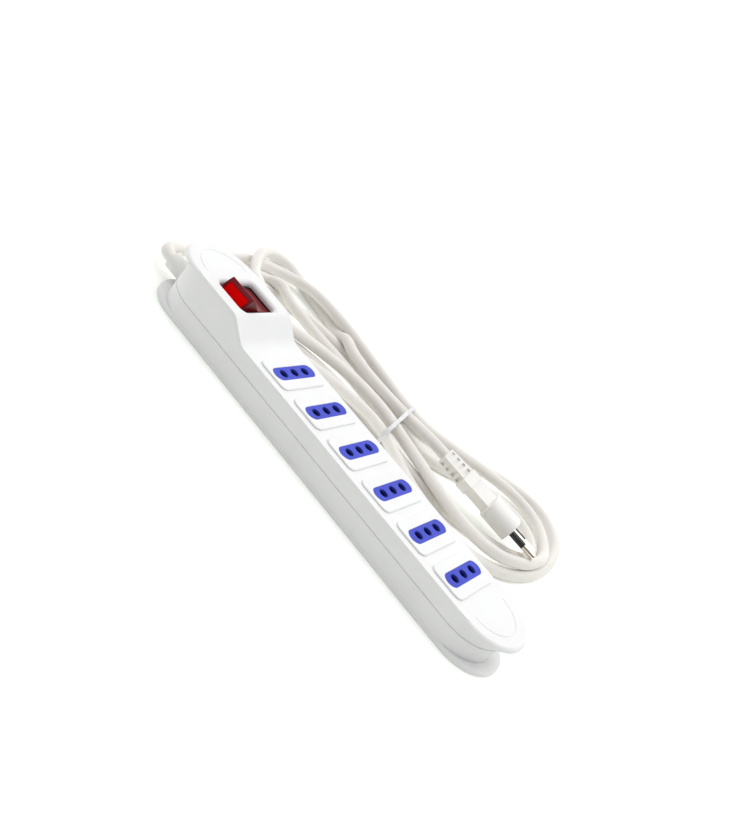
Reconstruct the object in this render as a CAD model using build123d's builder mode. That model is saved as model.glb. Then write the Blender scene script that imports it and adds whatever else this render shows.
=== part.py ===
"""Six-way power strip with an illuminated rocker switch and a tied supply cord.

Millimetres, +Z up. The strip lies along X with its flat bottom on Z = 0. The origin is the middle of the bottom face.
The switch and the cord gland are at the -X end, and the hank of cord lies on the same floor on the +Y side.
"""
from build123d import *
import math
import os

# ---- case ----
WIDTH = 48.0                 # across the flanges
END_CENTRE = 107.5           # half the distance between the flange's end centres
HUB_CENTRE = 101.0           # half the distance between the recessed wall's end centres
HUB_WIDTH = 47.6
FLANGE = 2.5                 # thickness of the end flanges
WALL = 2.2
FLOOR_TOP = 2.2
PARTING_Z = 12.3
MAIN_TOP = 21.3
DECK_TOP = 30.3
PAD_RISE = 1.0
DECK_EDGE_X = -76.2          # the deck's end, before rounding
SLOPE_FOOT_X = -63.4
STEP_RADIUS = 9.0
TOP_SKIN = 2.4
EDGE_RADIUS = 1.8
GROOVE = 0.35                # half the width of the line between the covers
ARC_LINE_R = 16.5            # shallow arcs in the top face at both ends
ARC_LINE_DEPTH = 0.25

# ---- sockets ----
SOCKETS = 6
PITCH = 26.2
SOCKET_MIDDLE_X = 22.5
SOCKET_X = [SOCKET_MIDDLE_X + (i - (SOCKETS - 1) / 2) * PITCH for i in range(SOCKETS)]
POLE_PITCH = 9.5
POLES_Y = (-POLE_PITCH, 0.0, POLE_PITCH)
HOLE_R = 2.45
INSERT_LENGTH = 34.6
INSERT_WIDTH = 8.5
PAD_LENGTH = 39.0
PAD_WIDTH = 20.8
PAD_TOP = MAIN_TOP + PAD_RISE
BODY_TOP = MAIN_TOP - TOP_SKIN - 0.1
BODY_BOTTOM = 13.5
BODY_X = 20.0
BODY_Y = 37.0
CHAMBER_X = 17.4
CHAMBER_Y = 28.0
CHAMBER_TOP = 16.3
SHUTTER_TRAVEL = 5.0
SHUTTER_LENGTH = 11.4
SHUTTER_Y = 27.0
SHUTTER_THICK = 2.2

# ---- contacts ----
RAIL_TOP = 13.2
RAIL_WIDTH = 28.0
CHANNEL_WIDTH = 7.4
CHANNEL_TOP = 12.0
STRIP_THICK = 0.6
CLIP_GAP = 4.2
CLIP_TOP = 11.0

# ---- switch ----
SWITCH_X = -89.75
OPENING_X = 22.5
OPENING_Y = 31.0
LIP_X = 21.0                 # the opening above the bezel, its top edge rounded
LIP_Y = 29.0
LIP_BOTTOM = 27.1
LIP_ROUND = 2.4
BEZEL_TOP = 26.9
COLLAR_BOTTOM = 25.3
HOUSING_BOTTOM = 9.0
CAVITY_FLOOR = 10.5
PIVOT_Z = 24.3
ROCKER_R = 13.5
ROCKER_WIDTH = 17.6
BEZEL_X = 22.0
BEZEL_Y = 30.6
CAVITY_X = 18.6
CAVITY_Y = 27.6
PANEL_WIDTH = 14.4
LEVER_X = 5.6
LEVER_Z = 12.9
LEVER_LENGTH = 18.0
LEVER_THICK = 0.8
LEVER_TILT = 8.0             # degrees, the -Y end down on its contact
CONTACT_Y = -8.2
TAB_WIDTH = 4.8
TAB_THICK = 0.8
TAB_BOTTOM = 3.6

# ---- cord and gland ----
CORD_D = 6.8
CORD_R = CORD_D / 2
GLAND_Z = 10.0
GLAND_END_X = -137.8
GLAND_R = 5.2
HUB_END_X = -(HUB_CENTRE + HUB_WIDTH / 2)
CORE_R = 1.2
SHEATH_END_X = -108.5        # where the three cores leave the sheath
HANK_TOP = 13.6
HANK_ROUND = 3.0
LEAD_END = (-149.8, 84.0, 3.4)

# ---- plug ----
PLUG_FACE = Vector(78.1, 96.3, 13.2)
PLUG_AXIS = Vector(53.5, 10.6, -4.0).normalized()
PLUG_ROLL = -17.6            # degrees, the far end of the row of pins lower
HEAD_WIDTH = 26.0
HEAD_THICK = 14.0
HEAD_LENGTH = 18.7
NECK_END = 31.6
COLLAR_END = 39.0
BOOT_END = 55.4
BOOT_SIDE = 8.9
BOOT_TAPER = 2.4
SLOT_PITCH = 4.1
PIN_R = 2.0
PIN_LENGTH = 19.0
SHANK_R = 1.7                # under the sleeves
SLEEVE_LENGTH = 10.0
BRIDGE_DEPTH = 3.0           # from the face to the moulded-in bridge
BRIDGE_THICK = 6.0

# ---- fixings ----
CASE_SCREWS = [(-108, 17), (-108, -17), (22.5, 18.3), (22.5, -18.3), (111, 12), (111, -12)]
CLAMP_X = -112.5
CLAMP_SCREWS = [(CLAMP_X, 8.5), (CLAMP_X, -8.5)]
SCREW_R = 1.45
HEAD_R = 2.9
BOSS_R = 3.4
SLIM_BOSS_R = 2.4
SCREW_SEAT = 5.0             # height of the case screws' heads in their counterbores
CASE_SCREW_LENGTH = 13.0
CORE_DEPTH = 6.4
CLAMP_SEAT = 6.0
CLAMP_SCREW_R = 1.25


def stadium(centre, width):
    """The outline that both covers share: two half circles joined by straight sides."""
    return SlotCenterToCenter(2 * centre, width)


def top_line(drop, start, end):
    """The side view of the top surface, lowered by drop: deck, slope and main top."""
    slope = math.atan2(DECK_TOP - MAIN_TOP, SLOPE_FOOT_X - DECK_EDGE_X)
    shift = -drop * math.tan(slope / 2)
    points = [
        (start, DECK_TOP - drop),
        (DECK_EDGE_X + shift, DECK_TOP - drop),
        (SLOPE_FOOT_X + shift, MAIN_TOP - drop),
        (end, MAIN_TOP - drop),
    ]
    return points, [STEP_RADIUS - drop, STEP_RADIUS + drop]


def slab_under(drop, bottom, thickness=None):
    """A long block whose top is the lowered top line, down to bottom or of the given thickness."""
    start, end = -150.0, 150.0
    with BuildPart() as block:
        with BuildSketch(Plane.XZ):
            with BuildLine():
                points, radii = top_line(drop, start, end)
                upper = FilletPolyline(*points, radius=radii)
                if thickness is None:
                    Polyline(upper @ 1, (end, bottom), (start, bottom), upper @ 0)
                else:
                    low_points, low_radii = top_line(drop + thickness, start, end)
                    lower = FilletPolyline(*low_points, radius=low_radii)
                    Line(upper @ 1, lower @ 1)
                    Line(upper @ 0, lower @ 0)
            make_face()
        extrude(amount=WIDTH, both=True)
    return block.part


def screw(x, y, seat_z, length, head_r, shank_r, up=1):
    """A cross-head screw whose head bears at seat_z, driven upwards (up=1) or downwards (up=-1)."""
    head = 0.75 * head_r
    with BuildPart() as made:
        with Locations((x, y, seat_z - up * head / 2)):
            Cylinder(head_r, head)
        fillet(made.edges().group_by(Axis.Z)[0 if up > 0 else -1], 0.28 * head_r)
        with Locations((x, y, seat_z + up * length / 2)):
            Cylinder(shank_r, length)
        with Locations((x, y, seat_z - up * head)):
            Box(1.3 * head_r, 0.3 * head_r, head, mode=Mode.SUBTRACT)
            Box(0.3 * head_r, 1.3 * head_r, head, mode=Mode.SUBTRACT)
    return made.part


def tube(points, radius, label):
    """Straight runs joined by tangent arcs, each arc as large as its two runs allow."""
    corners = [Vector(*p) for p in points]
    radii = []
    for before, here, after in zip(corners, corners[1:], corners[2:]):
        turn = math.radians((here - before).get_angle(after - here))
        shorter = min((here - before).length, (after - here).length)
        radii.append(0.45 * shorter / math.tan(turn / 2))
    with BuildPart() as made:
        with BuildLine() as path:
            FilletPolyline(*corners, radius=radii)
        with BuildSketch(Plane(origin=path.line @ 0, z_dir=path.line % 0)):
            Circle(radius)
        sweep()
    length = path.wires()[0].length
    share = made.part.volume / (math.pi * radius**2 * length)
    print(label, "length", round(length, 1), "volume share", round(share, 4))
    print("  radii", [round(r, 1) for r in radii])
    return made.part


def save(part, name):
    """Write one sub-part, under its own name."""
    part.label = name
    export_step(part, f"parts/{name}.step")


os.makedirs("parts", exist_ok=True)

# ---- top cover: skin with end flanges, recessed wall, six pads, switch collar, screw bosses ----
flange_skin = slab_under(0.0, 0.0, FLANGE)
full_height = slab_under(0.0, PARTING_Z)
inside_height = slab_under(TOP_SKIN, PARTING_Z - 5)

with BuildPart() as flange_layer:
    with BuildSketch():
        stadium(END_CENTRE, WIDTH)
    extrude(amount=60)
    add(flange_skin, mode=Mode.INTERSECT)
    fillet(flange_layer.edges().filter_by(GeomType.LINE, reverse=True).group_by(Axis.Z)[-1], EDGE_RADIUS)

with BuildPart() as wall_layer:
    with BuildSketch():
        stadium(HUB_CENTRE, HUB_WIDTH)
    extrude(amount=60)
    add(full_height, mode=Mode.INTERSECT)

with BuildPart() as hollow:
    with BuildSketch():
        stadium(HUB_CENTRE, HUB_WIDTH - 2 * WALL)
    extrude(amount=60)
    add(inside_height, mode=Mode.INTERSECT)

with BuildPart() as top_cover:
    add(flange_layer.part)
    add(wall_layer.part)
    add(hollow.part, mode=Mode.SUBTRACT)
    # pads round the socket windows
    with BuildSketch(Plane.XY.offset(MAIN_TOP - 1.0)):
        with Locations(*[(x, 0) for x in SOCKET_X]):
            RectangleRounded(PAD_WIDTH, PAD_LENGTH, 4.0)
    extrude(amount=1.0 + PAD_RISE)
    fillet(top_cover.faces().filter_by(Plane.XY).filter_by_position(Axis.Z, PAD_TOP, PAD_TOP).edges(), 0.6)
    # collar round the switch, down to the bezel
    with BuildSketch(Plane.XY.offset(COLLAR_BOTTOM)):
        with Locations((SWITCH_X, 0)):
            RectangleRounded(OPENING_X + 3.6, OPENING_Y + 4.0, 4.0)
    extrude(amount=DECK_TOP - 1 - COLLAR_BOTTOM)
    # screw bosses
    for x, y in CASE_SCREWS:
        ceiling = (DECK_TOP if x < DECK_EDGE_X else MAIN_TOP) - TOP_SKIN
        with BuildSketch(Plane.XY.offset(PARTING_Z)):
            with Locations((x, y)):
                Circle(BOSS_R if abs(x - SOCKET_MIDDLE_X) > 1 else SLIM_BOSS_R)
        extrude(amount=ceiling - PARTING_Z)
    # socket windows, switch opening, screw cores
    with BuildSketch(Plane.XY.offset(PARTING_Z)):
        with Locations(*[(x, 0) for x in SOCKET_X]):
            SlotOverall(INSERT_LENGTH + 0.1, INSERT_WIDTH + 0.1, rotation=90)
    extrude(amount=DECK_TOP, mode=Mode.SUBTRACT)
    with BuildSketch(Plane.XY.offset(PARTING_Z)):
        with Locations((SWITCH_X, 0)):
            RectangleRounded(OPENING_X, OPENING_Y, 2.6)
    extrude(amount=LIP_BOTTOM - PARTING_Z, mode=Mode.SUBTRACT)
    with BuildSketch(Plane.XY.offset(LIP_BOTTOM - 1)):
        with Locations((SWITCH_X, 0)):
            RectangleRounded(LIP_X, LIP_Y, 3.2)
    lip = extrude(amount=DECK_TOP - LIP_BOTTOM + 1, mode=Mode.SUBTRACT)
    deck_edges = top_cover.edges().filter_by_position(Axis.Z, DECK_TOP - 0.01, DECK_TOP + 0.01)
    fillet([e for e in deck_edges if abs(e.center().X - SWITCH_X) < 12 and abs(e.center().Y) < 16], LIP_ROUND)
    with BuildSketch(Plane.XY.offset(PARTING_Z)):
        with Locations(*CASE_SCREWS):
            Circle(SCREW_R)
    extrude(amount=CORE_DEPTH, mode=Mode.SUBTRACT)
    # the gland passes through both end walls, mostly the lower one
    with BuildSketch(Plane.YZ.offset(HUB_END_X - 1)):
        with Locations((0, GLAND_Z)):
            Circle(GLAND_R)
    extrude(amount=WALL + 2, mode=Mode.SUBTRACT)
    # shallow arc lines at both ends of the top face
    for side, level in ((1, MAIN_TOP), (-1, DECK_TOP)):
        with BuildSketch(Plane.XY.offset(level - ARC_LINE_DEPTH)):
            with Locations((side * END_CENTRE, 0)):
                Circle(ARC_LINE_R + 0.2)
                Circle(ARC_LINE_R - 0.2, mode=Mode.SUBTRACT)
            with Locations((side * (END_CENTRE - ARC_LINE_R), 0)):
                Rectangle(2 * ARC_LINE_R, WIDTH, mode=Mode.SUBTRACT)
        extrude(amount=1.0, mode=Mode.SUBTRACT)
    # the upper half of the line between the covers
    with BuildSketch(Plane.XY.offset(PARTING_Z)):
        stadium(HUB_CENTRE, HUB_WIDTH + 1)
        SlotCenterToCenter(2 * HUB_CENTRE, HUB_WIDTH - 2 * GROOVE, mode=Mode.SUBTRACT)
    extrude(amount=GROOVE, mode=Mode.SUBTRACT)
save(top_cover.part, "top_cover")

# ---- bottom cover: floor, flange, wall, screw and clamp bosses, rail ribs ----
with BuildPart() as bottom_cover:
    with BuildSketch():
        stadium(END_CENTRE, WIDTH)
    extrude(amount=FLANGE)
    fillet(bottom_cover.edges().group_by(Axis.Z)[0], 0.9)
    fillet(bottom_cover.edges().group_by(Axis.Z)[-1], 0.9)
    with BuildSketch():
        stadium(HUB_CENTRE, HUB_WIDTH)
    extrude(amount=PARTING_Z)
    with BuildSketch(Plane.XY.offset(FLOOR_TOP)):
        stadium(HUB_CENTRE, HUB_WIDTH - 2 * WALL)
    extrude(amount=PARTING_Z, mode=Mode.SUBTRACT)
    for x, y in CASE_SCREWS:
        with BuildSketch():
            with Locations((x, y)):
                Circle(4.0)
        extrude(amount=PARTING_Z)
    for x, y in CLAMP_SCREWS:
        with BuildSketch():
            with Locations((x, y)):
                Circle(3.0)
        extrude(amount=CLAMP_SEAT)
    with BuildSketch():
        with Locations(*CASE_SCREWS):
            Circle(HEAD_R + 0.3)
    extrude(amount=SCREW_SEAT, mode=Mode.SUBTRACT)
    with BuildSketch():
        with Locations(*CASE_SCREWS):
            Circle(SCREW_R + 0.2)
    extrude(amount=PARTING_Z, mode=Mode.SUBTRACT)
    with BuildSketch(Plane.XY.offset(FLOOR_TOP + 0.3)):
        with Locations(*CLAMP_SCREWS):
            Circle(CLAMP_SCREW_R)
    extrude(amount=CLAMP_SEAT, mode=Mode.SUBTRACT)
    # saddle under the clamped sheath
    with BuildSketch():
        with Locations((CLAMP_X, 0)):
            Rectangle(5.0, CORD_D)
    extrude(amount=GLAND_Z - 2)
    with BuildSketch(Plane.YZ.offset(CLAMP_X - 4)):
        with Locations((0, GLAND_Z)):
            Circle(CORD_R)
    extrude(amount=8, mode=Mode.SUBTRACT)
    with BuildSketch(Plane.YZ.offset(HUB_END_X - 1)):
        with Locations((0, GLAND_Z)):
            Circle(GLAND_R)
    extrude(amount=WALL + 2, mode=Mode.SUBTRACT)
    with BuildSketch(Plane.XY.offset(PARTING_Z)):
        stadium(HUB_CENTRE, HUB_WIDTH + 1)
        SlotCenterToCenter(2 * HUB_CENTRE, HUB_WIDTH - 2 * GROOVE, mode=Mode.SUBTRACT)
    extrude(amount=-GROOVE, mode=Mode.SUBTRACT)
save(bottom_cover.part, "bottom_cover")

# ---- six case screws and two clamp screws ----
with BuildPart() as case_screws:
    for x, y in CASE_SCREWS:
        add(screw(x, y, SCREW_SEAT, CASE_SCREW_LENGTH, HEAD_R, SCREW_R))
save(case_screws.part, "case_screws")

# ---- blue socket inserts, each with its sliding shutter ----
for number, x in enumerate(SOCKET_X, start=1):
    with BuildPart() as insert:
        with BuildSketch(Plane.XY.offset(BODY_BOTTOM)):
            with Locations((x, 0)):
                RectangleRounded(BODY_X, BODY_Y, 1.5)
        extrude(amount=BODY_TOP - BODY_BOTTOM)
        with BuildSketch(Plane.XY.offset(BODY_TOP - 1)):
            with Locations((x, 0)):
                SlotOverall(INSERT_LENGTH, INSERT_WIDTH, rotation=90)
        extrude(amount=PAD_TOP - BODY_TOP + 1)
        fillet(insert.edges().group_by(Axis.Z)[-1], 0.3)
        with BuildSketch(Plane.XY.offset(BODY_BOTTOM)):
            with Locations((x, 0)):
                Rectangle(CHAMBER_X, CHAMBER_Y)
        extrude(amount=CHAMBER_TOP - BODY_BOTTOM, mode=Mode.SUBTRACT)
        with Locations(*[(x, y, PAD_TOP) for y in POLES_Y]):
            Hole(HOLE_R)
        fillet(insert.edges().filter_by(GeomType.CIRCLE).group_by(Axis.Z)[-1], 0.35)
    save(insert.part, f"socket_insert_{number}")

    with BuildPart() as shutter:
        with BuildSketch(Plane.XY.offset(RAIL_TOP + 0.4)):
            with Locations((x - SHUTTER_TRAVEL / 2, 0)):
                RectangleRounded(SHUTTER_LENGTH, SHUTTER_Y, 0.8)
            with Locations(*[(x - SHUTTER_TRAVEL, y) for y in POLES_Y]):
                Circle(HOLE_R + 0.05, mode=Mode.SUBTRACT)
        extrude(amount=SHUTTER_THICK)
    save(shutter.part, f"socket_shutter_{number}")

# ---- contact rail with three channels, and the busbars in them ----
rail_start = SOCKET_X[0] - BODY_X / 2
rail_end = SOCKET_X[-1] + BODY_X / 2
rail_length = rail_end - rail_start
rail_middle = (rail_start + rail_end) / 2
with BuildPart() as contact_rail:
    with BuildSketch(Plane.XY.offset(FLOOR_TOP)):
        with Locations((rail_middle, 0)):
            Rectangle(rail_length, RAIL_WIDTH)
    extrude(amount=RAIL_TOP - FLOOR_TOP)
    with BuildSketch(Plane.XY.offset(FLOOR_TOP)):
        with Locations(*[(rail_middle - 2, y) for y in POLES_Y]):
            Rectangle(rail_length, CHANNEL_WIDTH)
    extrude(amount=CHANNEL_TOP - FLOOR_TOP, mode=Mode.SUBTRACT)
    with Locations(*[(x, y, RAIL_TOP) for x in SOCKET_X for y in POLES_Y]):
        Hole(HOLE_R + 0.15, depth=RAIL_TOP - CHANNEL_TOP + 0.5)
save(contact_rail.part, "contact_rail")

BUSBARS = {"neutral_busbar": -POLE_PITCH, "earth_busbar": 0.0, "live_busbar": POLE_PITCH}
for name, y in BUSBARS.items():
    with BuildPart() as busbar:
        with BuildSketch(Plane.XY.offset(FLOOR_TOP + 0.1)):
            with Locations((rail_middle, y)):
                Rectangle(rail_length - 10, CLIP_GAP + 2 * STRIP_THICK)
        extrude(amount=STRIP_THICK)
        with BuildSketch(Plane.XY.offset(FLOOR_TOP + 0.1)):
            for x in SOCKET_X:
                for side in (-1, 1):
                    with Locations((x, y + side * (CLIP_GAP + STRIP_THICK) / 2)):
                        Rectangle(6.0, STRIP_THICK)
        extrude(amount=CLIP_TOP - FLOOR_TOP)
    save(busbar.part, name)

# ---- switch housing ----
with BuildPart() as switch_housing:
    with BuildSketch(Plane.XY.offset(HOUSING_BOTTOM)):
        with Locations((SWITCH_X, 0)):
            RectangleRounded(BEZEL_X, BEZEL_Y, 2.4)
    extrude(amount=BEZEL_TOP - HOUSING_BOTTOM)
    fillet(switch_housing.edges().group_by(Axis.Z)[-1], 0.6)
    with BuildSketch(Plane.XY.offset(COLLAR_BOTTOM - 1.4)):
        with Locations((SWITCH_X, 0)):
            RectangleRounded(OPENING_X + 3.0, OPENING_Y + 3.0, 3.0)
    extrude(amount=1.1)
    with BuildSketch(Plane.XY.offset(CAVITY_FLOOR)):
        with Locations((SWITCH_X, 0)):
            Rectangle(CAVITY_X, CAVITY_Y)
    extrude(amount=BEZEL_TOP, mode=Mode.SUBTRACT)
    with BuildSketch(Plane.YZ.offset(SWITCH_X - BEZEL_X)):
        with Locations((0, PIVOT_Z)):
            Circle(1.8)
    extrude(amount=2 * BEZEL_X, mode=Mode.SUBTRACT)
    with BuildSketch(Plane.XY.offset(HOUSING_BOTTOM)):
        with Locations(*[(SWITCH_X + side * LEVER_X, y) for side in (-1, 1) for y in (0, CONTACT_Y)]):
            Rectangle(TAB_WIDTH, TAB_THICK)
    extrude(amount=3, mode=Mode.SUBTRACT)
save(switch_housing.part, "switch_housing")

# ---- rocker: a V-topped paddle on two trunnions, its raised end hollowed for the lit panel ----
with BuildPart() as rocker:
    with BuildSketch(Plane.YZ.offset(SWITCH_X - ROCKER_WIDTH / 2)):
        with BuildLine():
            raised = (-7.8, PIVOT_Z + 11.0)
            low_end = (13.3, PIVOT_Z + 2.3)
            foot = (10.6, PIVOT_Z - 8.35)
            heel = (-13.3, PIVOT_Z - 2.3)
            Polyline(raised, (1.5, PIVOT_Z + 3.5), low_end)
            RadiusArc(low_end, foot, ROCKER_R)
            Polyline(foot, (-6, PIVOT_Z - 5.3), heel)
            RadiusArc(heel, raised, ROCKER_R)
        make_face()
    extrude(amount=ROCKER_WIDTH)
    fillet(rocker.edges().filter_by(Axis.X).group_by(Axis.Z)[-1], 0.8)
    # recess of the lit panel in the raised end's curved face
    with BuildSketch(Plane.YZ.offset(SWITCH_X - PANEL_WIDTH / 2)):
        with BuildLine():
            panel_low = Vector(0, PIVOT_Z) + Vector(-ROCKER_R - 1, 0).rotate(Axis.Z, -3)
            panel_high = Vector(0, PIVOT_Z) + Vector(-ROCKER_R - 1, 0).rotate(Axis.Z, -42)
            inner_low = Vector(0, PIVOT_Z) + Vector(-ROCKER_R + 1.2, 0).rotate(Axis.Z, -3)
            inner_high = Vector(0, PIVOT_Z) + Vector(-ROCKER_R + 1.2, 0).rotate(Axis.Z, -42)
            RadiusArc(panel_low, panel_high, ROCKER_R + 1)
            Line(panel_high, inner_high)
            RadiusArc(inner_low, inner_high, ROCKER_R - 1.2)
            Line(inner_low, panel_low)
        make_face()
    extrude(amount=PANEL_WIDTH, mode=Mode.SUBTRACT)
    # trunnions
    for side in (-1, 1):
        with BuildSketch(Plane.YZ.offset(SWITCH_X + side * (ROCKER_WIDTH / 2 - 1))):
            with Locations((0, PIVOT_Z)):
                Circle(1.5)
        extrude(amount=side * 2.6)
    # two tongues that press the contact levers
    for side in (-1, 1):
        with BuildSketch(Plane.YZ.offset(SWITCH_X + side * LEVER_X - 1.2)):
            with BuildLine():
                tip = (-2.95, PIVOT_Z - 10.3)
                Polyline((-4.0, PIVOT_Z - 4.5), (-4.2, PIVOT_Z - 9.9), tip, (-1.9, PIVOT_Z - 10.0),
                         (0.8, PIVOT_Z - 4.5), close=True)
            make_face()
        extrude(amount=2.4)
save(rocker.part, "rocker")

with BuildPart() as rocker_panel:
    with BuildSketch(Plane.YZ.offset(SWITCH_X - PANEL_WIDTH / 2)):
        with BuildLine():
            outer_low = Vector(0, PIVOT_Z) + Vector(-ROCKER_R + 0.35, 0).rotate(Axis.Z, -3)
            outer_high = Vector(0, PIVOT_Z) + Vector(-ROCKER_R + 0.35, 0).rotate(Axis.Z, -42)
            RadiusArc(outer_low, outer_high, ROCKER_R - 0.35)
            Line(outer_high, inner_high)
            RadiusArc(inner_low, inner_high, ROCKER_R - 1.2)
            Line(inner_low, outer_low)
        make_face()
    extrude(amount=PANEL_WIDTH)
save(rocker_panel.part, "rocker_panel")

# ---- contact levers, blade terminals and neon lamp under the rocker ----
with BuildPart() as contact_levers:
    tilted = Plane((SWITCH_X, 0, LEVER_Z), x_dir=(1, 0, 0), z_dir=(0, 0, 1)).rotated((LEVER_TILT, 0, 0))
    with BuildSketch(tilted):
        with Locations((-LEVER_X, 0), (LEVER_X, 0)):
            RectangleRounded(3.0, LEVER_LENGTH, 0.6)
    extrude(amount=LEVER_THICK / 2, both=True)
save(contact_levers.part, "contact_levers")

with BuildPart() as switch_terminals:
    for y, top in ((0, LEVER_Z - 0.75), (CONTACT_Y, LEVER_Z - 1.95)):
        with BuildSketch(Plane.XY.offset(TAB_BOTTOM)):
            with Locations((SWITCH_X - LEVER_X, y), (SWITCH_X + LEVER_X, y)):
                Rectangle(TAB_WIDTH, TAB_THICK)
        extrude(amount=top - TAB_BOTTOM)
save(switch_terminals.part, "switch_terminals")

with BuildPart() as neon_lamp:
    with BuildSketch(Plane.XZ.offset(1.0)):
        with Locations((SWITCH_X, CAVITY_FLOOR + 1.8)):
            Circle(1.6)
    extrude(amount=10.0)
    fillet(neon_lamp.edges(), 0.8)
save(neon_lamp.part, "neon_lamp")

# ---- gland, clamped sheath end and clamp bridge ----
with BuildPart() as cord_gland:
    with BuildSketch(Plane.YZ.offset(GLAND_END_X)):
        with Locations((0, GLAND_Z)):
            Circle(GLAND_R)
    extrude(amount=-GLAND_END_X - 119.2)
    fillet(cord_gland.edges().group_by(Axis.X)[0], 0.5)
    with BuildSketch(Plane.YZ.offset(-119.2)):
        with Locations((0, GLAND_Z)):
            Circle(GLAND_R + 1.4)
    extrude(amount=-2.0)
    with BuildSketch(Plane.YZ.offset(GLAND_END_X)):
        with Locations((0, GLAND_Z)):
            Circle(CORD_R)
    extrude(amount=30, mode=Mode.SUBTRACT)
save(cord_gland.part, "cord_gland")

with BuildPart() as cord_inner_end:
    with BuildSketch(Plane.YZ.offset(GLAND_END_X)):
        with Locations((0, GLAND_Z)):
            Circle(CORD_R)
    extrude(amount=SHEATH_END_X - GLAND_END_X)
save(cord_inner_end.part, "cord_inner_end")

with BuildPart() as cord_clamp:
    with BuildSketch(Plane.YZ.offset(CLAMP_X - 2.5)):
        with BuildLine():
            Polyline((-11.5, CLAMP_SEAT), (-11.5, CLAMP_SEAT + 3), (-5.6, CLAMP_SEAT + 3), (-5.6, 15.6), (5.6, 15.6),
                     (5.6, CLAMP_SEAT + 3), (11.5, CLAMP_SEAT + 3), (11.5, CLAMP_SEAT), (CORD_R + 0.4, CLAMP_SEAT),
                     (CORD_R + 0.4, CLAMP_SEAT - 1), (-CORD_R - 0.4, CLAMP_SEAT - 1), (-CORD_R - 0.4, CLAMP_SEAT),
                     close=True)
        make_face()
        with Locations((0, GLAND_Z)):
            Circle(CORD_R, mode=Mode.SUBTRACT)
        with Locations((0, GLAND_Z - 5)):
            Rectangle(CORD_D + 0.8, 10, mode=Mode.SUBTRACT)
    extrude(amount=5.0)
    with BuildSketch(Plane.XY.offset(CLAMP_SEAT)):
        with Locations(*CLAMP_SCREWS):
            Circle(CLAMP_SCREW_R)
    extrude(amount=3.0, mode=Mode.SUBTRACT)
save(cord_clamp.part, "cord_clamp")

with BuildPart() as clamp_screws:
    for x, y in CLAMP_SCREWS:
        add(screw(x, y, CLAMP_SEAT + 3, 6.0, 2.3, CLAMP_SCREW_R, up=-1))
save(clamp_screws.part, "clamp_screws")

# ---- inner wiring: three cores from the sheath, two links from the switch to the busbars ----
busbar_x = rail_middle - (rail_length - 10) / 2
left_tab = SWITCH_X - LEVER_X
right_tab = SWITCH_X + LEVER_X
half_tab = TAB_WIDTH / 2
neutral_core = [
    (SHEATH_END_X, -1.34, 10.78),
    (-106.3, -1.34, 10.78),
    (-101.5, 0, 5.5),
    (left_tab - half_tab, 0, 5.5),
]
earth_core = [
    (SHEATH_END_X, 0, 8.45),
    (-107.4, 0, 8.45),
    (-104.3, 2.8, 4.9),
    (-99.0, 4.6, 3.8),
    (-62.0, 4.2, 3.7),
    (-54.0, 0, 3.7),
    (busbar_x, 0, 3.7),
]
live_core = [
    (SHEATH_END_X, 1.34, 10.78),
    (-106.3, 1.34, 10.78),
    (-100.0, 7.8, 6.6),
    (-89.0, 8.6, 6.6),
    (right_tab, 5.6, 6.6),
    (right_tab, TAB_THICK / 2, 6.6),
]
live_link = [
    (right_tab + half_tab, CONTACT_Y, 6.6),
    (-76.0, CONTACT_Y, 6.6),
    (-62.5, 7.5, 6.6),
    (-54.5, POLE_PITCH, 3.9),
    (busbar_x, POLE_PITCH, 3.7),
]
neutral_link = [
    (left_tab + half_tab, CONTACT_Y, 5.0),
    (-91.3, CONTACT_Y, 5.0),
    (-87.2, -12.4, 5.0),
    (-76.0, -12.4, 4.4),
    (-56.0, -POLE_PITCH, 3.7),
    (busbar_x, -POLE_PITCH, 3.7),
]
save(tube(neutral_core, CORE_R, "neutral_core"), "neutral_core")
save(tube(earth_core, CORE_R, "earth_core"), "earth_core")
save(tube(live_core, CORE_R, "live_core"), "live_core")
save(tube(live_link, CORE_R, "live_link"), "live_link")
save(tube(neutral_link, CORE_R, "neutral_link"), "neutral_link")

# ---- supply cord: the free lead from the gland to the hank ----
lead = [
    (GLAND_END_X, 0, GLAND_Z),
    (-142.5, 0, GLAND_Z),
    (-146.5, 2.5, GLAND_Z),
    (-148.0, 8.5, 9.8),
    (-148.3, 18, 8.6),
    (-148.9, 34, 6.0),
    (-149.6, 54, 4.2),
    (-150.0, 72, CORD_R),
    LEAD_END,
]
save(tube(lead, CORD_R, "cord_lead"), "cord_lead")

# ---- plug frame: x along the row of pins, z out of the face ----
across = Vector(-PLUG_AXIS.Y, PLUG_AXIS.X, 0).normalized()
row_direction = across.rotate(Axis((0, 0, 0), PLUG_AXIS), PLUG_ROLL)
PLUG = Plane(origin=PLUG_FACE, x_dir=row_direction, z_dir=PLUG_AXIS)
boot_start = PLUG.from_local_coords(Vector(0, 0, -BOOT_END))
PINS_X = (-POLE_PITCH, 0.0, POLE_PITCH)

with BuildPart() as plug_collar:
    with BuildSketch(PLUG.offset(-NECK_END)):
        Polygon((10.2, 0), (0, 7.0), (-10.2, 0), (0, -7.0), align=None)
    extrude(amount=-(COLLAR_END - NECK_END))
    chamfer(plug_collar.faces().filter_by(PLUG).sort_by(Axis(PLUG_FACE, PLUG_AXIS))[-1].edges(), 0.8)

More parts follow.
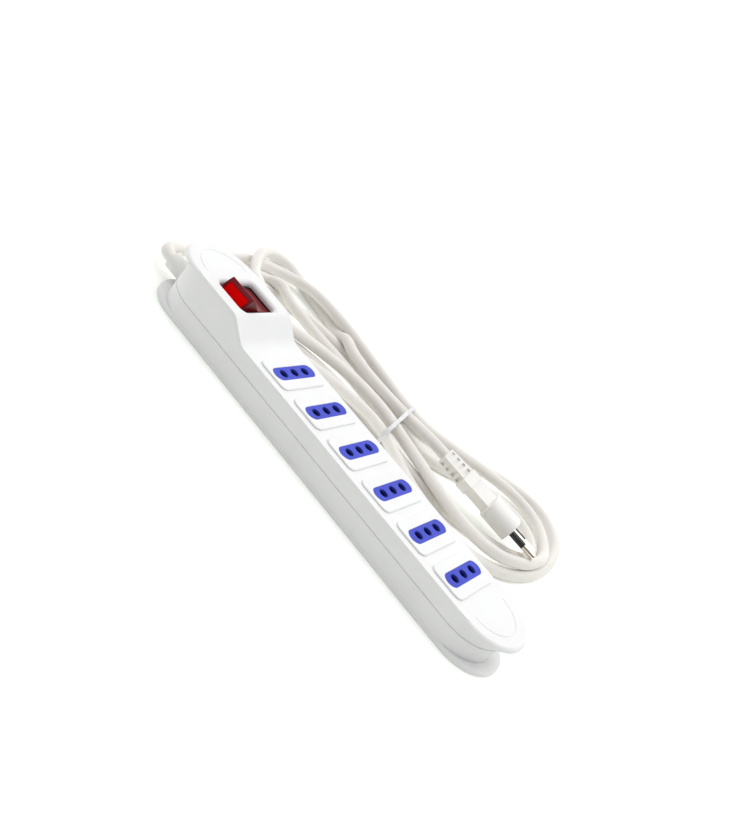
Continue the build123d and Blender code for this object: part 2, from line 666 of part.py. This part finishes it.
with BuildPart() as plug_body:
    with BuildSketch(PLUG):
        SlotOverall(HEAD_WIDTH, HEAD_THICK)
    extrude(amount=-HEAD_LENGTH)
    fillet(plug_body.faces().filter_by(PLUG).edges(), 0.6)
    with BuildSketch(PLUG.offset(-HEAD_LENGTH + 1)):
        Polygon((8.96, 0), (0, 6.15), (-8.96, 0), (0, -6.15), align=None)
    extrude(amount=-(NECK_END - HEAD_LENGTH + 2))
    add(plug_collar.part)
    with BuildSketch(PLUG.offset(-COLLAR_END)):
        Rectangle(BOOT_SIDE, BOOT_SIDE, rotation=45)
    extrude(amount=-(BOOT_END - COLLAR_END))
    # the boot's four faces lean in towards the cord
    for turn in (45, 135, 225, 315):
        foot = PLUG.location * Location((0, 0, -COLLAR_END), (0, 0, turn))
        lean = Location((BOOT_SIDE / 2, 0, 0), (0, BOOT_TAPER, 0)) * Location((5, 0, -15))
        with Locations(foot * lean):
            Box(10, 20, 30, mode=Mode.SUBTRACT)
    # slots that let the boot flex, four in each of its four faces
    for turn in (45, 135, 225, 315):
        for step in range(4):
            spot = PLUG.location * Location((0, 0, -COLLAR_END - 1.6 - SLOT_PITCH * step), (0, 0, turn))
            with Locations(spot * Location((BOOT_SIDE / 2, 0, 0))):
                Box(2.6, 5.6, 1.9, mode=Mode.SUBTRACT)
    # the moulded-in bridge and the pins' roots
    with BuildSketch(PLUG.offset(-BRIDGE_DEPTH)):
        Rectangle(23.8, 6.0)
    extrude(amount=-BRIDGE_THICK, mode=Mode.SUBTRACT)
    with BuildSketch(PLUG):
        with Locations(*[(x, 0) for x in PINS_X]):
            Circle(PIN_R)
    extrude(amount=-BRIDGE_DEPTH, mode=Mode.SUBTRACT)
save(plug_body.part, "plug_body")

with BuildPart() as plug_pin_bridge:
    with BuildSketch(PLUG.offset(-BRIDGE_DEPTH)):
        Rectangle(23.8, 6.0)
    extrude(amount=-BRIDGE_THICK)
save(plug_pin_bridge.part, "plug_pin_bridge")

with BuildPart() as line_pins:
    for x in (PINS_X[0], PINS_X[2]):
        with BuildSketch(PLUG.offset(-BRIDGE_DEPTH)):
            with Locations((x, 0)):
                Circle(PIN_R)
        extrude(amount=BRIDGE_DEPTH)
        with BuildSketch(PLUG):
            with Locations((x, 0)):
                Circle(SHANK_R)
        extrude(amount=SLEEVE_LENGTH)
        with BuildSketch(PLUG.offset(SLEEVE_LENGTH)):
            with Locations((x, 0)):
                Circle(PIN_R)
        extrude(amount=PIN_LENGTH - SLEEVE_LENGTH)
    fillet(line_pins.faces().filter_by(PLUG).sort_by(Axis(PLUG_FACE, PLUG_AXIS))[-2:].edges(), 1.6)
save(line_pins.part, "line_pins")

with BuildPart() as pin_sleeves:
    with BuildSketch(PLUG):
        with Locations((PINS_X[0], 0), (PINS_X[2], 0)):
            Circle(PIN_R)
            Circle(SHANK_R, mode=Mode.SUBTRACT)
    extrude(amount=SLEEVE_LENGTH)
save(pin_sleeves.part, "pin_sleeves")

with BuildPart() as earth_pin:
    with BuildSketch(PLUG.offset(-BRIDGE_DEPTH)):
        Circle(PIN_R)
    extrude(amount=BRIDGE_DEPTH + PIN_LENGTH)
    fillet(earth_pin.faces().sort_by(Axis(PLUG_FACE, PLUG_AXIS))[-1].edges(), 1.6)
save(earth_pin.part, "earth_pin")

# ---- the tied hank: one closed solid of its outer shape ----
hank_outline = [
    (-154.5, 84), (-162, 100), (-162, 116), (-157, 123), (-142.5, 127.5), (-127.5, 126), (-87.5, 122.5),
    (-57.5, 117), (-33.5, 112), (-13.5, 114), (4, 124), (22.5, 138), (42.5, 160), (69.5, 173), (92.5, 162),
    (105.5, 138), (108.5, 112), (106.5, 90), (98.5, 69), (84.5, 53.5), (64.5, 46.5), (42.5, 48.5), (22.5, 53),
    (-2.5, 58.5), (-37.5, 56), (-57.5, 50), (-72.5, 47.5), (-87.5, 40.5), (-102.5, 33), (-117.5, 29.6),
    (-135.5, 33), (-145.8, 48), (-145.8, 84),
]
right_hole = [
    (22.5, 80), (42.5, 77), (65.5, 83), (80, 93.5), (87, 102.5), (89.5, 112), (86.5, 120), (78.5, 128),
    (67.5, 130.5), (54.5, 124), (42.5, 112), (30.5, 101), (20.5, 92),
]
left_hole = [(-132.5, 93), (-123.5, 108), (-105.5, 108), (-97.5, 101), (-112.5, 93)]
TIE_TOP = HANK_TOP + 0.8
TIE_MIDDLE = Vector(-8.9, 84.5, TIE_TOP / 2)
TIE_ACROSS = Vector(-11.6, 49, 0).normalized()
TIE = Plane(origin=TIE_MIDDLE, x_dir=TIE_ACROSS, z_dir=TIE_ACROSS.cross(Vector(0, 0, 1)))
TIE_WIDTH = 2.4
TIE_LONG = 52.4
TIE_THICK = 0.6

with BuildPart() as hank_block:
    with BuildSketch():
        with BuildLine():
            Polyline(*hank_outline, close=True)
        make_face()
    extrude(amount=HANK_TOP)
    fillet(hank_block.edges().filter_by(Axis.Z).filter_by(lambda e: e.center().Y != 84), 6.0)
    chamfer(hank_block.edges().group_by(Axis.Z)[-1], HANK_ROUND)

with BuildPart() as hank_holes:
    for outline in (right_hole, left_hole):
        with BuildSketch():
            with BuildLine():
                Polyline(*outline, close=True)
            make_face()
        extrude(amount=HANK_TOP)
    fillet(hank_holes.edges().filter_by(Axis.Z), 4.0)

ridge = [
    (-14.0, 94.0, HANK_TOP - CORD_R - 0.5),
    (0.5, 88.0, 14.2),
    tuple(boot_start - PLUG_AXIS * 10),
    tuple(boot_start),
]
with BuildPart() as cord_hank:
    add(hank_block.part)
    add(hank_holes.part, mode=Mode.SUBTRACT)
    # room for the boot, the plug's head and its pins
    with BuildSketch(PLUG.offset(-BOOT_END - 0.3)):
        with Locations((0, 15)):
            Rectangle(15.0, 44.0)
    extrude(amount=18.0, mode=Mode.SUBTRACT)
    with BuildSketch(PLUG.offset(-COLLAR_END - 0.5)):
        with Locations((0, 15)):
            Rectangle(HEAD_WIDTH + 3, 46.0)
    extrude(amount=COLLAR_END + 1.0, mode=Mode.SUBTRACT)
    with BuildSketch(PLUG.offset(0.4)):
        with Locations((0, 12.6)):
            Rectangle(25.0, 30.0)
    extrude(amount=PIN_LENGTH + 1, mode=Mode.SUBTRACT)
    add(tube(ridge, CORD_R, "last strand"))
    # the tie squeezes the strands together
    with BuildSketch(TIE.offset(-TIE_WIDTH / 2 - 0.2)):
        Rectangle(80.0, 40.0)
        RectangleRounded(TIE_LONG - 2 * TIE_THICK, TIE_TOP - 2 * TIE_THICK, 5.0, mode=Mode.SUBTRACT)
    extrude(amount=TIE_WIDTH + 0.4, mode=Mode.SUBTRACT)
save(cord_hank.part, "cord_hank")

with BuildPart() as hank_tie:
    with BuildSketch(TIE.offset(-TIE_WIDTH / 2)):
        RectangleRounded(TIE_LONG, TIE_TOP, 5.6)
        RectangleRounded(TIE_LONG - 2 * TIE_THICK, TIE_TOP - 2 * TIE_THICK, 5.0, mode=Mode.SUBTRACT)
    extrude(amount=TIE_WIDTH)
save(hank_tie.part, "hank_tie")
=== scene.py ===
"""Looks of the power strip: camera, cord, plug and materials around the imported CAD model. Metres, +Z up."""
import math

import bpy
from mathutils import Matrix, Vector


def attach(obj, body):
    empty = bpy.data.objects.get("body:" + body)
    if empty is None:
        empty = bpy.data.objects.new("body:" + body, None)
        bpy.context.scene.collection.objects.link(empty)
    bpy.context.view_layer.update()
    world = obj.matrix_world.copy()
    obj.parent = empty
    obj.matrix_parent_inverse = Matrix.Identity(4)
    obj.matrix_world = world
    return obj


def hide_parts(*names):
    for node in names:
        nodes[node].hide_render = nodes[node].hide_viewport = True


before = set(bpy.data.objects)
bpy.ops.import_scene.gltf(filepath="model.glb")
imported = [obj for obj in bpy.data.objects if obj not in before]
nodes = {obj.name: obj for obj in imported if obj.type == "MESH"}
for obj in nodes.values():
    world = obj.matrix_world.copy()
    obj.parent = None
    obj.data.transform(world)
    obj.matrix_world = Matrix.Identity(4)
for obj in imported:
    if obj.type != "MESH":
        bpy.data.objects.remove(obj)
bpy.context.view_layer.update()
scene = bpy.context.scene
MM = 0.001

# ---------------------------------------------------------------- camera
CAMERA_AT = Vector((0.134257, -0.434341, 0.246776))
CAMERA_RIGHT = Vector((0.62659151, 0.48068284, 0.61345505))
CAMERA_DOWN = Vector((0.73449051, -0.10102801, -0.67105665))
CAMERA_AHEAD = Vector((-0.26058927, 0.87105531, -0.41636028))
camera_data = bpy.data.cameras.new("camera")
camera_data.lens = 44.18
camera_data.sensor_width = 36.0
camera_data.clip_start = 0.01
camera_data.clip_end = 20.0
camera = bpy.data.objects.new("camera", camera_data)
turn = Matrix((CAMERA_RIGHT, -CAMERA_DOWN, -CAMERA_AHEAD)).transposed().to_4x4()
camera.matrix_world = Matrix.Translation(CAMERA_AT) @ turn
scene.collection.objects.link(camera)
scene.camera = camera


# ---------------------------------------------------------------- node helpers
class Graph:
    """One material's nodes, with short calls for the ones used here."""

    def __init__(self, name):
        self.material = bpy.data.materials.new(name)
        self.material.use_nodes = True
        self.tree = self.material.node_tree
        self.shader = self.tree.nodes["Principled BSDF"]
        self.place = self.add("ShaderNodeTexCoord").outputs["Object"]

    def add(self, kind, **settings):
        node = self.tree.nodes.new(kind)
        for key, value in settings.items():
            setattr(node, key, value)
        return node

    def join(self, start, end):
        self.tree.links.new(start, end)

    def set(self, **values):
        for key, value in values.items():
            self.shader.inputs[key.replace("_", " ")].default_value = value

    def noise(self, scale, detail=3.0, rough=0.55, warp=0.0):
        node = self.add("ShaderNodeTexNoise")
        node.inputs["Scale"].default_value = scale
        node.inputs["Detail"].default_value = detail
        node.inputs["Roughness"].default_value = rough
        node.inputs["Distortion"].default_value = warp
        self.join(self.place, node.inputs["Vector"])
        return node.outputs["Fac"]

    def ramp(self, value, low, high, low_at=0.3, high_at=0.7):
        """Spreads a noise value between low and high, which are numbers or colours."""
        node = self.add("ShaderNodeValToRGB")
        for stop, at, value_there in zip(node.color_ramp.elements, (low_at, high_at), (low, high)):
            grey = isinstance(value_there, float)
            stop.position = at
            stop.color = (value_there, value_there, value_there, 1) if grey else (*value_there, 1)
        self.join(value, node.inputs["Fac"])
        return node.outputs["Color"]

    def darker_below(self, colour, deep, z_low, z_high):
        """Paints shade: fades the colour to deep between two heights, in metres."""
        split = self.add("ShaderNodeSeparateXYZ")
        self.join(self.place, split.inputs[0])
        height = self.add("ShaderNodeMapRange")
        height.inputs["From Min"].default_value = z_low
        height.inputs["From Max"].default_value = z_high
        self.join(split.outputs["Z"], height.inputs["Value"])
        mix = self.add("ShaderNodeMix", data_type="RGBA")
        mix.inputs["A"].default_value = (*deep, 1)
        self.join(height.outputs["Result"], mix.inputs["Factor"])
        self.join(colour, mix.inputs["B"])
        return mix.outputs["Result"]

    def bump(self, value, distance, strength=1.0, after=None):
        node = self.add("ShaderNodeBump")
        node.inputs["Distance"].default_value = distance
        node.inputs["Strength"].default_value = strength
        self.join(value, node.inputs["Height"])
        if after is not None:
            self.join(after, node.inputs["Normal"])
        self.join(node.outputs["Normal"], self.shader.inputs["Normal"])
        return node.outputs["Normal"]


def moulded(name, dark, light, rough=(0.34, 0.44), grain=900.0, mottle=45.0, **extra):
    """Injection-moulded plastic: a faint large mottle, uneven gloss and a fine spark texture."""
    g = Graph(name)
    g.join(g.ramp(g.noise(mottle, 4.0), dark, light), g.shader.inputs["Base Color"])
    g.join(g.ramp(g.noise(mottle * 6, 3.0), *rough), g.shader.inputs["Roughness"])
    coarse = g.bump(g.noise(mottle * 1.3, 2.0), 0.00012, 0.25)
    g.bump(g.noise(grain, 2.0, 0.6), 0.00003, 0.5, after=coarse)
    g.set(**extra)
    return g.material


def socket_face():
    """Blue face with painted shade: its colour fades to near black inside its holes, where the walls are in
    shade.
    """
    hole_shade_at, face_blue_at = 0.0200, 0.0217
    g = Graph("insert_blue")
    blue = g.ramp(g.noise(45.0, 4.0), (0.050, 0.070, 0.50), (0.062, 0.086, 0.58))
    # painted shade: below the face the blue turns near black, standing for the shade down in the holes
    shaded = g.darker_below(blue, (0.0008, 0.0008, 0.012), hole_shade_at, face_blue_at)
    g.join(shaded, g.shader.inputs["Base Color"])
    g.join(g.ramp(g.noise(270.0), 0.42, 0.52), g.shader.inputs["Roughness"])
    g.bump(g.noise(900.0, 2.0, 0.6), 0.00002, 0.4)
    g.set(Specular_IOR_Level=0.12)
    return g.material


def metal(name, dark, light, rough=(0.16, 0.3)):
    """Plated or turned metal with uneven polish."""
    g = Graph(name)
    g.join(g.ramp(g.noise(160.0, 4.0, warp=0.4), dark, light), g.shader.inputs["Base Color"])
    g.join(g.ramp(g.noise(600.0, 3.0), *rough), g.shader.inputs["Roughness"])
    g.bump(g.noise(1800.0, 2.0), 0.00001, 0.5)
    g.set(Metallic=1.0)
    return g.material


def red_shell():
    """Deep red, the colour of a translucent shell over a dark inside."""
    g = Graph("rocker_red")
    red = g.ramp(g.noise(60.0, 3.0), (0.11, 0.002, 0.006), (0.17, 0.004, 0.01))
    g.join(red, g.shader.inputs["Base Color"])
    g.join(g.ramp(g.noise(400.0), 0.10, 0.2), g.shader.inputs["Roughness"])
    g.bump(g.noise(900.0, 2.0), 0.00001, 0.4)
    g.set(Specular_IOR_Level=0.16)
    return g.material


def red_panel():
    """The brighter window in the rocker, with a trace of its lamp's light."""
    g = Graph("panel_red")
    g.join(g.ramp(g.noise(70.0, 3.0), (0.60, 0.0, 0.0), (0.72, 0.0, 0.0005)), g.shader.inputs["Base Color"])
    g.join(g.ramp(g.noise(400.0), 0.18, 0.3), g.shader.inputs["Roughness"])
    g.bump(g.noise(900.0, 2.0), 0.00001, 0.4)
    g.set(Specular_IOR_Level=0.02, Emission_Color=(0.9, 0.0, 0.0, 1), Emission_Strength=0.06)
    return g.material


def tie_film():
    """Milky, slightly clear plastic strap."""
    g = Graph("tie_clear")
    g.join(g.ramp(g.noise(300.0, 3.0), (0.80, 0.80, 0.81), (0.88, 0.88, 0.89)), g.shader.inputs["Base Color"])
    g.join(g.ramp(g.noise(900.0), 0.25, 0.4), g.shader.inputs["Roughness"])
    g.bump(g.noise(900.0, 2.0), 0.000004, 0.4)
    g.set(Transmission_Weight=0.2)
    return g.material


def lamp_glass():
    """Neon lamp inside the switch."""
    g = Graph("lamp_glass")
    g.join(g.ramp(g.noise(200.0), (0.9, 0.6, 0.45), (0.95, 0.7, 0.55)), g.shader.inputs["Base Color"])
    g.join(g.ramp(g.noise(300.0), 0.03, 0.08), g.shader.inputs["Roughness"])
    g.set(Transmission_Weight=0.7, Emission_Color=(1.0, 0.25, 0.08, 1), Emission_Strength=0.6)
    return g.material


case_white = moulded("case_white", (0.80, 0.80, 0.795), (0.83, 0.83, 0.828), (0.5, 0.62),
                     Specular_IOR_Level=0.1)
insert_blue = socket_face()
# painted shade: the shutters are near black and matt to stand for the shade inside the socket holes, not for
# their own colour
shutter_dark = moulded("shutter_dark", (0.0005, 0.0005, 0.002), (0.001, 0.001, 0.004), (0.8, 0.95),
                       Specular_IOR_Level=0.0)
inner_grey = moulded("inner_grey", (0.4, 0.4, 0.39), (0.46, 0.46, 0.45), (0.45, 0.6))
switch_black = moulded("switch_black", (0.012, 0.012, 0.013), (0.022, 0.022, 0.024), (0.28, 0.4))
cord_white = moulded("cord_white", (0.765, 0.735, 0.695), (0.795, 0.765, 0.725), (0.38, 0.5),
                     grain=1600.0, mottle=30.0, Specular_IOR_Level=0.3)
gland_white = moulded("gland_white", (0.78, 0.77, 0.745), (0.81, 0.80, 0.78), (0.36, 0.5),
                      Specular_IOR_Level=0.3)
plug_ivory = moulded("plug_ivory", (0.87, 0.85, 0.815), (0.90, 0.885, 0.85), (0.36, 0.48),
                     grain=1200.0, Specular_IOR_Level=0.3)
sleeve_black = moulded("sleeve_black", (0.012, 0.012, 0.012), (0.02, 0.02, 0.02), (0.3, 0.42))
core_blue = moulded("core_blue", (0.02, 0.07, 0.35), (0.03, 0.09, 0.42))
core_brown = moulded("core_brown", (0.11, 0.04, 0.015), (0.15, 0.055, 0.02))
core_green = moulded("core_green", (0.06, 0.25, 0.03), (0.5, 0.45, 0.03))
brass = metal("brass", (0.62, 0.46, 0.22), (0.74, 0.58, 0.32))
pin_metal = metal("pin_metal", (0.72, 0.66, 0.55), (0.82, 0.77, 0.68), (0.12, 0.24))
steel = metal("steel", (0.5, 0.5, 0.5), (0.62, 0.62, 0.62), (0.25, 0.4))
rocker_red = red_shell()
panel_red = red_panel()
tie_clear = tie_film()
glass = lamp_glass()

# the six socket inserts and the six shutters are numbered, so they are matched below by the start of the name
BY_NODE = {
    "top_cover": case_white, "bottom_cover": case_white, "case_screws": steel, "clamp_screws": steel,
    "contact_rail": inner_grey, "cord_clamp": inner_grey, "plug_pin_bridge": inner_grey,
    "neutral_busbar": brass, "earth_busbar": brass, "live_busbar": brass,
    "contact_levers": brass, "switch_terminals": brass, "neon_lamp": glass,
    "switch_housing": switch_black, "rocker": rocker_red, "rocker_panel": panel_red,
    "cord_gland": gland_white, "cord_inner_end": cord_white, "cord_lead": cord_white, "cord_hank": cord_white,
    "neutral_core": core_blue, "neutral_link": core_blue, "live_core": core_brown, "live_link": core_brown,
    "earth_core": core_green, "hank_tie": tie_clear, "plug_body": plug_ivory,
    "line_pins": pin_metal, "earth_pin": pin_metal, "pin_sleeves": sleeve_black,
}
for node_name, node in nodes.items():
    numbered = insert_blue if node_name.startswith("socket_insert") else shutter_dark
    node.data.materials.clear()
    node.data.materials.append(BY_NODE.get(node_name, numbered))


# ---------------------------------------------------------------- cord
# control points of the cord's centre line, in millimetres, given in order from the gland to the plug
ROUTE = [
    # out of the gland and along the end of the case
    (-137.8, 0, 10), (-142.5, 0, 10), (-146.5, 2.5, 10), (-148, 8.5, 9.8), (-148.3, 18, 8.6),
    (-148.9, 34, 6), (-149.6, 54, 4.2), (-150, 72, 3.4), (-149.8, 84, 3.4),
    # round the far left end of the hank
    (-147.5, 93, 3.4), (-144, 102, 3.4), (-136, 111, 4), (-122, 117, 7.5), (-106.5, 115, 10.6),
    # first strand to the right, at the far side of the hank
    (-84.5, 112.5, 11.8), (-62.5, 111, 11), (-33.5, 107, 10.2), (-10.5, 103.5, 10.2), (7, 108.5, 10.2),
    (25, 121, 10.2), (44, 139, 8),
    # right-hand loop round the tips of the plug pins, and back to the tie
    (62, 155, 4.5), (82, 152, 4), (96.6, 130, 5.6), (101.2, 110, 8.5), (98.6, 91, 9), (94.5, 79.5, 10.2),
    (86.5, 67, 10.2), (67.5, 59, 10.2), (42.5, 63, 10.2), (22.5, 67.7, 10.2),
    # back to the left on top, then down round a fold hidden by the case
    (2, 73, 10.2), (-13.5, 76.7, 10.2), (-26, 77.5, 10.2), (-43.1, 75, 10.2), (-62.5, 67.5, 10.2),
    (-79.2, 57.7, 10.2), (-96, 46.5, 10.2), (-111, 36, 10.4),
    (-123, 30.5, 8.6), (-135.5, 34.5, 5.2), (-142.2, 45, 3.4), (-143, 59.5, 3.4), (-139, 72.5, 3.4),
    # over the hidden folds and to the right through the tie
    (-130.5, 80.8, 4.6), (-119.5, 82, 12), (-107, 77, 10.2), (-92.5, 80, 8), (-79, 88, 4),
    (-66, 90.5, 3.4), (-47.5, 90, 3.4), (-27.5, 90, 3.4), (-7.5, 90, 3.4), (8, 91, 3.4), (19, 97, 3.4),
    (28, 106, 3.4),
    # innermost right-hand loop
    (37.5, 117, 3.4), (50.5, 129, 3.4), (67.5, 136, 3.4), (82.5, 132.5, 3.4), (92, 122, 3.4),
    (95, 111, 3.4), (92, 99, 3.4), (83, 88, 3.4), (67.5, 77, 3.4), (50.5, 69, 3.4), (32.5, 65.5, 3.4),
    (12, 66, 3.4),
    # back to the left on the table and round the second hidden fold
    (-2.5, 68, 3.4), (-17.5, 69.5, 3.4), (-37.5, 69, 3.4), (-57.5, 65, 3.4), (-72.5, 59, 3.4),
    (-85.5, 51, 3.4), (-99, 42, 3.4), (-113, 36, 3.4),
    (-126, 40.5, 3.4), (-132, 54, 3.4), (-129, 70, 3.4), (-118, 83.5, 3.4), (-103.5, 93, 3.4),
    (-89.5, 99, 3.4), (-67.5, 102.5, 3.4), (-57.5, 104, 3.4), (-37.5, 108, 3.4),
    # to the right again
    (-7.5, 109, 3.4), (10, 121.5, 3.4), (24, 135, 3.4),
    # outermost right-hand loop
    (42.5, 156, 3.4), (70, 173, 3.4), (94, 160, 3.4), (103, 135, 3.4), (105.5, 112, 3.4),
    (102.5, 91, 3.4), (95.5, 72.5, 3.4), (82.5, 58, 3.4), (64.5, 51, 3.4), (42.5, 52, 3.4),
    (22.5, 57, 3.4),
    # back to the left beside the case, then over the two hidden folds
    (-2.5, 62.5, 7.9), (-17.5, 64.8, 7.9), (-37.5, 61, 7), (-57.5, 54.5, 5.5), (-72.5, 50, 3.4),
    (-84, 42.5, 5), (-94, 37, 13.5), (-105, 40, 18.5), (-117, 50, 16.5),
    # the loop that stands out behind the switch
    (-127, 63, 10.8), (-134.5, 71.4, 10.2), (-141.5, 80.6, 10.2), (-147.5, 90.5, 10.2),
    (-151.5, 101, 8.5), (-155, 112, 5.5), (-152.5, 122.5, 3.6), (-143, 127, 3.4), (-131, 124.5, 3.4),
    (-117, 121, 3.4),
    # last strand to the right, up into the boot of the plug
    (-103, 119, 3.4), (-90.5, 115.5, 3.4), (-80.5, 109.5, 5), (-73, 103, 10.8), (-64, 97.5, 10.6),
    (-52, 94.5, 10.2), (-33.5, 93.5, 10.2), (-14, 95.5, 10.2), (-1.5, 91, 13.4), (12.2, 83.2, 18.1),
    (23.9, 85.57, 17.25),
]
CORD_RADIUS = 3.4 * MM

cord_curve = bpy.data.curves.new("supply_cord", "CURVE")
cord_curve.dimensions = "3D"
spline = cord_curve.splines.new("NURBS")
spline.points.add(len(ROUTE) - 1)
for point, xyz in zip(spline.points, ROUTE):
    point.co = (*[c * MM for c in xyz], 1.0)
spline.order_u = 3
spline.use_endpoint_u = True
spline.resolution_u = 14
cord_curve.bevel_depth = CORD_RADIUS
cord_curve.bevel_resolution = 8
cord_curve.use_fill_caps = True
cord_curve.materials.append(cord_white)
supply_cord = bpy.data.objects.new("supply_cord", cord_curve)
scene.collection.objects.link(supply_cord)
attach(supply_cord, "strip")
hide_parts("cord_lead", "cord_hank")


# ---------------------------------------------------------------- floor and light
def pale(name, glow):
    """Matt near-white paper with a faint glow of its own."""
    g = Graph(name)
    g.set(Base_Color=(0.945, 0.965, 0.92, 1), Roughness=0.9, Specular_IOR_Level=0.0)
    g.set(Emission_Color=(1, 1, 1, 1), Emission_Strength=glow)
    return g.material


def sheet_of_paper(name, profile, material):
    """A sheet 10 m wide whose section in YZ is the profile."""
    mesh = bpy.data.meshes.new(name)
    corners = [(side * 5.0, y, z) for y, z in profile for side in (-1, 1)]
    strips = [(2 * i, 2 * i + 1, 2 * i + 3, 2 * i + 2) for i in range(len(profile) - 1)]
    mesh.from_pydata(corners, [], strips)
    mesh.materials.append(material)
    paper = bpy.data.objects.new(name, mesh)
    scene.collection.objects.link(paper)


FLOOR_Z = -0.0001
FLOOR_FRONT, FLOOR_BACK = -4.0, 1.6
SWEEP_RADIUS = 1.2
WALL_TOP = 4.0
sweep = [
    (FLOOR_BACK + SWEEP_RADIUS * math.sin(angle), SWEEP_RADIUS * (1 - math.cos(angle)) + FLOOR_Z)
    for angle in (math.radians(7.5 * step) for step in range(13))
]
sheet_of_paper("floor", [(FLOOR_FRONT, FLOOR_Z), (FLOOR_BACK, FLOOR_Z)], pale("floor", 0.15))
sheet_of_paper("backdrop", sweep + [(FLOOR_BACK + SWEEP_RADIUS, WALL_TOP)], pale("backdrop", 0.5))


def sky_light():
    """Light that is strongest from behind and above on the left, and weak towards the viewer."""
    world = bpy.data.worlds.new("world")
    world.use_nodes = True
    sky = world.node_tree
    background = sky.nodes["Background"]
    direction = sky.nodes.new("ShaderNodeTexCoord").outputs["Generated"]
    facing = sky.nodes.new("ShaderNodeVectorMath")
    facing.operation = "DOT_PRODUCT"
    facing.inputs[1].default_value = (-0.25, 0.62, 0.74)
    sky.links.new(direction, facing.inputs[0])
    fade = sky.nodes.new("ShaderNodeMapRange")
    fade.inputs["From Min"].default_value = -0.35
    fade.inputs["From Max"].default_value = 0.75
    fade.inputs["To Min"].default_value = 0.04
    fade.inputs["To Max"].default_value = 1.5
    sky.links.new(facing.outputs["Value"], fade.inputs["Value"])
    sky.links.new(fade.outputs["Result"], background.inputs["Strength"])
    background.inputs["Color"].default_value = (0.985, 0.985, 1.0, 1)
    return world


def softbox(name, at, towards, size, power):
    """A square area light aimed at a point."""
    data = bpy.data.lights.new(name, "AREA")
    data.shape = "SQUARE"
    data.size = size
    data.energy = power
    lamp = bpy.data.objects.new(name, data)
    lamp.location = at
    lamp.rotation_euler = (Vector(towards) - Vector(at)).to_track_quat("-Z", "Y").to_euler()
    scene.collection.objects.link(lamp)


scene.world = sky_light()
softbox("key", (0.6, 0.5, 3.2), (0, 0.03, 0), 1.6, 20.0)
scene.view_settings.view_transform = "Standard"
scene.view_settings.look = "None"
